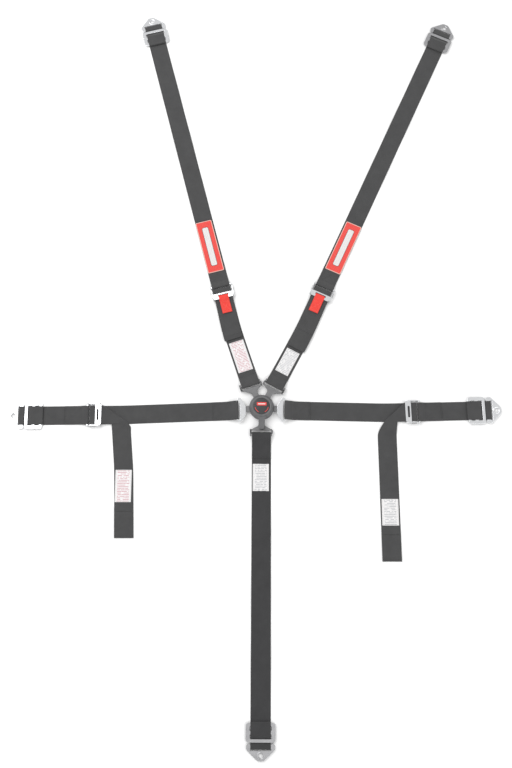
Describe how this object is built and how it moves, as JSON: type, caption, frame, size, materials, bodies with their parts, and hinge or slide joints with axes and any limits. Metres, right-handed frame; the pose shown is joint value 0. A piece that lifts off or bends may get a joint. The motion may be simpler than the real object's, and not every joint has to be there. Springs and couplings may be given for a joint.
{
  "type": "racing harness",
  "caption": "Racing harness laid out flat: rotary release buckle, webbing straps for shoulders, lap and crotch, adjusters and bolt-in anchor brackets.",
  "frame": {"origin": "centre of the flat back face of the buckle", "axes": "+Z out of the buckle towards the viewer, +Y towards the shoulder straps, +X towards the lap strap on the viewer's right"},
  "size_m": [1.3284, 2.0829, 0.0275],
  "materials": {
    "badge": "satin black",
    "buckle_dark": "satin dark grey",
    "chrome": "bright",
    "label": "satin label cloth",
    "red": "woven red",
    "steel": "machined",
    "tongue_grey": "grey phosphate",
    "webbing": "woven polyester",
    "zinc": "dull zinc"
  },
  "bodies": {
    "buckle": {"buckle_base": "buckle_dark", "buckle_housing": "buckle_dark", "centre_pivot": "steel", "return_spring": "steel", "crotch_rivet": "steel"},
    "lever": {"release_lever": "buckle_dark", "lever_badge": "badge", "cam_plate": "steel"},
    "left_shoulder_latch": {"left_shoulder_latch_pin": "steel"},
    "left_shoulder_tongue_body": {"left_shoulder_tongue": "tongue_grey"},
    "left_shoulder_strap_body": {"left_shoulder_strap": "webbing", "left_shoulder_label": "label"},
    "left_shoulder_adjuster_body": {"left_shoulder_adjuster_frame": "chrome"},
    "left_shoulder_tail_body": {"left_shoulder_strap_tail": "webbing"},
    "left_shoulder_grip_body": {"left_shoulder_adjuster_bar": "steel"},
    "left_shoulder_tab_body": {"left_shoulder_release_tab": "red"},
    "left_shoulder_anchor_body": {"left_shoulder_anchor_strap": "webbing", "left_shoulder_slide": "chrome", "left_shoulder_patch": "red"},
    "left_shoulder_bracket_body": {"left_shoulder_bracket": "chrome"},
    "right_shoulder_latch": {"right_shoulder_latch_pin": "steel"},
    "right_shoulder_tongue_body": {"right_shoulder_tongue": "tongue_grey"},
    "right_shoulder_strap_body": {"right_shoulder_strap": "webbing", "right_shoulder_label": "label"},
    "right_shoulder_adjuster_body": {"right_shoulder_adjuster_frame": "chrome"},
    "right_shoulder_tail_body": {"right_shoulder_strap_tail": "webbing"},
    "right_shoulder_grip_body": {"right_shoulder_adjuster_bar": "steel"},
    "right_shoulder_tab_body": {"right_shoulder_release_tab": "red"},
    "right_shoulder_anchor_body": {"right_shoulder_anchor_strap": "webbing", "right_shoulder_slide": "zinc", "right_shoulder_patch": "red"},
    "right_shoulder_bracket_body": {"right_shoulder_bracket": "zinc"},
    "left_lap_latch": {"left_lap_latch_pin": "steel"},
    "left_lap_tongue_body": {"left_lap_tongue": "tongue_grey", "left_lap_tongue_loop": "chrome"},
    "left_lap_strap_body": {"left_lap_strap": "webbing"},
    "left_lap_adjuster_body": {"left_lap_adjuster_frame": "chrome"},
    "left_lap_tail_body": {"left_lap_strap_tail": "webbing", "left_lap_label": "label"},
    "left_lap_grip_body": {"left_lap_adjuster_bar": "steel"},
    "left_lap_anchor_body": {"left_lap_anchor_strap": "webbing", "left_lap_slide": "chrome"},
    "left_lap_bracket_body": {"left_lap_bracket": "chrome"},
    "right_lap_latch": {"right_lap_latch_pin": "steel"},
    "right_lap_tongue_body": {"right_lap_tongue": "tongue_grey", "right_lap_tongue_loop": "chrome"},
    "right_lap_strap_body": {"right_lap_strap": "webbing"},
    "right_lap_adjuster_body": {"right_lap_adjuster_frame": "chrome"},
    "right_lap_tail_body": {"right_lap_strap_tail": "webbing", "right_lap_label": "label"},
    "right_lap_grip_body": {"right_lap_adjuster_bar": "steel"},
    "right_lap_anchor_body": {"right_lap_anchor_strap": "webbing", "right_lap_slide": "chrome"},
    "right_lap_bracket_body": {"right_lap_bracket": "chrome"},
    "crotch_tongue_body": {"crotch_tongue": "tongue_grey"},
    "crotch_strap_body": {"crotch_strap": "webbing", "crotch_label": "label", "crotch_slide": "zinc"},
    "crotch_bracket_body": {"crotch_bracket": "zinc"}
  },
  "joints": [
    {"name": "lever_turn", "type": "hinge", "parent": "buckle", "child": "lever", "pos_m": [0, 0, 0.02], "axis": [0, 0, 1], "range_deg": [0, 45], "stiffness_Nm_per_rad": 0.5},
    {"name": "left_shoulder_latch_lift", "type": "slide", "parent": "buckle", "child": "left_shoulder_latch", "axis": [0, 0, 1], "range_m": [0, 0.00242]},
    {"name": "left_shoulder_tongue_swing", "type": "hinge", "parent": "buckle", "child": "left_shoulder_tongue_body", "pos_m": [-0.00921, 0.01887, 0.0093], "axis": [0, 0, 1], "range_deg": [-2, 6]},
    {"name": "left_shoulder_strap_lift", "type": "hinge", "parent": "left_shoulder_tongue_body", "child": "left_shoulder_strap_body", "pos_m": [-0.0295, 0.062, 0.0093], "axis": [0.9494, 0.314, 0], "range_deg": [0, 60]},
    {"name": "left_shoulder_adjuster_slide", "type": "slide", "parent": "left_shoulder_strap_body", "child": "left_shoulder_adjuster_body", "axis": [-0.2487, 0.9686, 0], "range_m": [-0.05, 0.06], "deforming": ["left_shoulder_strap"]},
    {"name": "left_shoulder_tail_slide", "type": "slide", "parent": "left_shoulder_adjuster_body", "child": "left_shoulder_tail_body", "axis": [-0.2487, 0.9686, 0], "range_m": [-0.051, 0.061], "deforming": ["left_shoulder_strap_tail"]},
    {"name": "left_shoulder_grip_slide", "type": "slide", "parent": "left_shoulder_adjuster_body", "child": "left_shoulder_grip_body", "axis": [0.2487, -0.9686, 0], "range_m": [0, 0.002]},
    {"name": "left_shoulder_tab_lift", "type": "hinge", "parent": "left_shoulder_adjuster_body", "child": "left_shoulder_tab_body", "pos_m": [-0.10643, 0.31704, 0.0112], "axis": [-0.9686, -0.2487, 0], "range_deg": [0, 80.2]},
    {"name": "left_shoulder_anchor_lift", "type": "hinge", "parent": "left_shoulder_adjuster_body", "child": "left_shoulder_anchor_body", "pos_m": [-0.11364, 0.34513, 0.0046], "axis": [0.9686, 0.2487, 0], "range_deg": [0, 60]},
    {"name": "left_shoulder_bracket_tilt", "type": "hinge", "parent": "left_shoulder_anchor_body", "child": "left_shoulder_bracket_body", "pos_m": [-0.32279, 1.1597, 0.0043], "axis": [0.9686, 0.2487, 0], "range_deg": [0, 75], "deforming": ["left_shoulder_anchor_strap"]},
    {"name": "right_shoulder_latch_lift", "type": "slide", "parent": "buckle", "child": "right_shoulder_latch", "axis": [0, 0, 1], "range_m": [0, 0.00242]},
    {"name": "right_shoulder_tongue_swing", "type": "hinge", "parent": "buckle", "child": "right_shoulder_tongue_body", "pos_m": [0.01002, 0.01845, 0.0093], "axis": [0, 0, 1], "range_deg": [-6, 2]},
    {"name": "right_shoulder_strap_lift", "type": "hinge", "parent": "right_shoulder_tongue_body", "child": "right_shoulder_strap_body", "pos_m": [0.0343, 0.0597, 0.0093], "axis": [0.8813, -0.4726, 0], "range_deg": [0, 60]},
    {"name": "right_shoulder_adjuster_slide", "type": "slide", "parent": "right_shoulder_strap_body", "child": "right_shoulder_adjuster_body", "axis": [0.4163, 0.9092, 0], "range_m": [-0.05, 0.06], "deforming": ["right_shoulder_strap"]},
    {"name": "right_shoulder_tail_slide", "type": "slide", "parent": "right_shoulder_adjuster_body", "child": "right_shoulder_tail_body", "axis": [0.4163, 0.9092, 0], "range_m": [-0.051, 0.061], "deforming": ["right_shoulder_strap_tail"]},
    {"name": "right_shoulder_grip_slide", "type": "slide", "parent": "right_shoulder_adjuster_body", "child": "right_shoulder_grip_body", "axis": [-0.4163, -0.9092, 0], "range_m": [0, 0.002]},
    {"name": "right_shoulder_tab_lift", "type": "hinge", "parent": "right_shoulder_adjuster_body", "child": "right_shoulder_tab_body", "pos_m": [0.16401, 0.31616, 0.0112], "axis": [-0.9092, 0.4163, 0], "range_deg": [0, 80.2]},
    {"name": "right_shoulder_anchor_lift", "type": "hinge", "parent": "right_shoulder_adjuster_body", "child": "right_shoulder_anchor_body", "pos_m": [0.17608, 0.34253, 0.0046], "axis": [0.9092, -0.4163, 0], "range_deg": [0, 60]},
    {"name": "right_shoulder_bracket_tilt", "type": "hinge", "parent": "right_shoulder_anchor_body", "child": "right_shoulder_bracket_body", "pos_m": [0.54074, 1.13902, 0.0043], "axis": [0.9092, -0.4163, 0], "range_deg": [0, 75], "deforming": ["right_shoulder_anchor_strap"]},
    {"name": "left_lap_latch_lift", "type": "slide", "parent": "buckle", "child": "left_lap_latch", "axis": [0, 0, 1], "range_m": [0, 0.00242]},
    {"name": "left_lap_tongue_swing", "type": "hinge", "parent": "buckle", "child": "left_lap_tongue_body", "pos_m": [-0.0208, -0.00292, 0.0093], "axis": [0, 0, 1], "range_deg": [-6, 6]},
    {"name": "left_lap_strap_lift", "type": "hinge", "parent": "left_lap_tongue_body", "child": "left_lap_strap_body", "pos_m": [-0.066, -0.008, 0.0123], "axis": [-0.0375, 0.9993, 0], "range_deg": [0, 60]},
    {"name": "left_lap_adjuster_slide", "type": "slide", "parent": "left_lap_strap_body", "child": "left_lap_adjuster_body", "axis": [-0.9999, -0.0105, 0], "range_m": [-0.04, 0.05], "deforming": ["left_lap_strap"]},
    {"name": "left_lap_tail_slide", "type": "slide", "parent": "left_lap_adjuster_body", "child": "left_lap_tail_body", "axis": [0, 1, 0], "range_m": [-0.041, 0.051], "deforming": ["left_lap_strap_tail"]},
    {"name": "left_lap_grip_slide", "type": "slide", "parent": "left_lap_adjuster_body", "child": "left_lap_grip_body", "axis": [0.9999, 0.0105, 0], "range_m": [0, 0.002]},
    {"name": "left_lap_anchor_lift", "type": "hinge", "parent": "left_lap_adjuster_body", "child": "left_lap_anchor_body", "pos_m": [-0.46979, -0.02034, 0.0046], "axis": [-0.0105, 0.9999, 0], "range_deg": [0, 60]},
    {"name": "left_lap_bracket_tilt", "type": "hinge", "parent": "left_lap_anchor_body", "child": "left_lap_bracket_body", "pos_m": [-0.64728, -0.0222, 0.0043], "axis": [-0.0105, 0.9999, 0], "range_deg": [0, 75], "deforming": ["left_lap_anchor_strap"]},
    {"name": "right_lap_latch_lift", "type": "slide", "parent": "buckle", "child": "right_lap_latch", "axis": [0, 0, 1], "range_m": [0, 0.00242]},
    {"name": "right_lap_tongue_swing", "type": "hinge", "parent": "buckle", "child": "right_lap_tongue_body", "pos_m": [0.0208, -0.00292, 0.0093], "axis": [0, 0, 1], "range_deg": [-6, 6]},
    {"name": "right_lap_strap_lift", "type": "hinge", "parent": "right_lap_tongue_body", "child": "right_lap_strap_body", "pos_m": [0.065, -0.0075, 0.0123], "axis": [-0.0227, -0.9997, 0], "range_deg": [0, 60]},
    {"name": "right_lap_adjuster_slide", "type": "slide", "parent": "right_lap_strap_body", "child": "right_lap_adjuster_body", "axis": [0.9997, 0.0227, 0], "range_m": [-0.04, 0.05], "deforming": ["right_lap_strap"]},
    {"name": "right_lap_tail_slide", "type": "slide", "parent": "right_lap_adjuster_body", "child": "right_lap_tail_body", "axis": [0, 1, 0], "range_m": [-0.041, 0.051], "deforming": ["right_lap_strap_tail"]},
    {"name": "right_lap_grip_slide", "type": "slide", "parent": "right_lap_adjuster_body", "child": "right_lap_grip_body", "axis": [-0.9997, -0.0227, 0], "range_m": [0, 0.002]},
    {"name": "right_lap_anchor_lift", "type": "hinge", "parent": "right_lap_adjuster_body", "child": "right_lap_anchor_body", "pos_m": [0.42492, -0.01158, 0.0046], "axis": [0.0227, -0.9997, 0], "range_deg": [0, 60]},
    {"name": "right_lap_bracket_tilt", "type": "hinge", "parent": "right_lap_anchor_body", "child": "right_lap_bracket_body", "pos_m": [0.61238, -0.00733, 0.0043], "axis": [0.0227, -0.9997, 0], "range_deg": [0, 75], "deforming": ["right_lap_anchor_strap"]},
    {"name": "crotch_tongue_swing", "type": "hinge", "parent": "buckle", "child": "crotch_tongue_body", "pos_m": [0, -0.021, 0.0093], "axis": [0, 0, 1], "range_deg": [-6, 6]},
    {"name": "crotch_strap_lift", "type": "hinge", "parent": "crotch_tongue_body", "child": "crotch_strap_body", "pos_m": [-0.0005, -0.071, 0.0093], "axis": [-1, 0.0044, 0], "range_deg": [0, 60]},
    {"name": "crotch_bracket_tilt", "type": "hinge", "parent": "crotch_strap_body", "child": "crotch_bracket_body", "pos_m": [-0.00392, -0.85449, 0.0043], "axis": [-1, 0.0044, 0], "range_deg": [0, 75], "deforming": ["crotch_strap"]}
  ],
  "couplings": [
    {"joint": "left_shoulder_latch_lift", "follows": "lever_turn", "m_per_rad": 0.0030558},
    {"joint": "left_shoulder_tail_slide", "follows": "left_shoulder_adjuster_slide", "ratio": 1},
    {"joint": "left_shoulder_tab_lift", "follows": "left_shoulder_grip_slide", "rad_per_m": 698.13},
    {"joint": "right_shoulder_latch_lift", "follows": "lever_turn", "m_per_rad": 0.0030558},
    {"joint": "right_shoulder_tail_slide", "follows": "right_shoulder_adjuster_slide", "ratio": 1},
    {"joint": "right_shoulder_tab_lift", "follows": "right_shoulder_grip_slide", "rad_per_m": 698.13},
    {"joint": "left_lap_latch_lift", "follows": "lever_turn", "m_per_rad": 0.0030558},
    {"joint": "left_lap_tail_slide", "follows": "left_lap_adjuster_slide", "ratio": 1},
    {"joint": "right_lap_latch_lift", "follows": "lever_turn", "m_per_rad": 0.0030558},
    {"joint": "right_lap_tail_slide", "follows": "right_lap_adjuster_slide", "ratio": 1}
  ]
}
